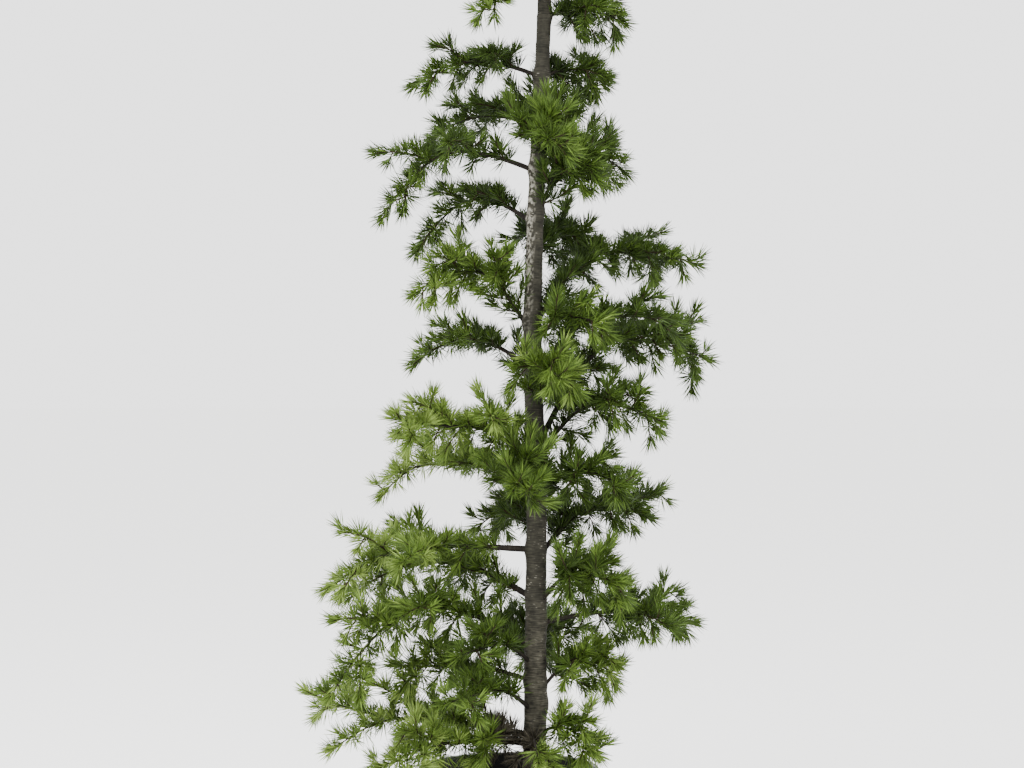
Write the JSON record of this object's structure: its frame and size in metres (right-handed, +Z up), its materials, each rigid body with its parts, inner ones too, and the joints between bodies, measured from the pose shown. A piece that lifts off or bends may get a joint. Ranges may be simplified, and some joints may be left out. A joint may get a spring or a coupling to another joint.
{
  "type": "potted atlas cedar",
  "caption": "Young atlas cedar in a round black nursery pot: one tapering trunk with boughs and masses of needled twigs all round it.",
  "frame": {"origin": "centre of the pot's flat underside, on the surface that it stands on", "axes": "+Z up along the tree; the tree is seen from -Y, with +X to the viewer's right"},
  "size_m": [0.5734, 0.43, 1.9577],
  "materials": {
    "bark": "matte",
    "needles": "satin",
    "pot_plastic": "satin",
    "compost": "matte"
  },
  "bodies": {
    "root": {"trunk": "bark", "pot": "pot_plastic", "compost": "compost", "bough_left_3": "bark", "bough_left_9": "bark", "bough_left_11": "bark", "bough_right_5": "bark", "bough_right_7": "bark", "bough_right_10": "bark", "foliage_left_1": "needles", "foliage_left_2": "needles", "foliage_left_3": "needles", "foliage_left_4": "needles", "foliage_left_5": "needles", "foliage_left_6": "needles", "foliage_left_7": "needles", "foliage_left_8": "needles", "foliage_left_9": "needles", "foliage_left_10": "needles", "foliage_left_11": "needles", "foliage_left_12": "needles", "foliage_left_13": "needles", "foliage_left_14": "needles", "foliage_left_15": "needles", "foliage_left_16": "needles", "foliage_right_1": "needles", "foliage_right_2": "needles", "foliage_right_3": "needles", "foliage_right_4": "needles", "foliage_right_5": "needles", "foliage_right_6": "needles", "foliage_right_7": "needles", "foliage_right_8": "needles", "foliage_right_9": "needles", "foliage_right_10": "needles", "foliage_right_11": "needles", "foliage_right_12": "needles", "foliage_right_13": "needles", "foliage_front_1": "needles", "foliage_front_2": "needles", "foliage_front_3": "needles", "foliage_front_4": "needles", "foliage_front_5": "needles", "foliage_front_6": "needles", "foliage_front_7": "needles", "foliage_front_8": "needles", "foliage_back_1": "needles", "foliage_back_2": "needles", "foliage_back_3": "needles", "foliage_back_4": "needles", "foliage_back_5": "needles", "foliage_upper_1": "needles", "foliage_upper_2": "needles", "foliage_upper_3": "needles", "foliage_upper_4": "needles", "foliage_upper_5": "needles", "foliage_upper_6": "needles", "foliage_upper_7": "needles", "foliage_upper_8": "needles", "foliage_leader": "needles"}
  },
  "joints": []
}
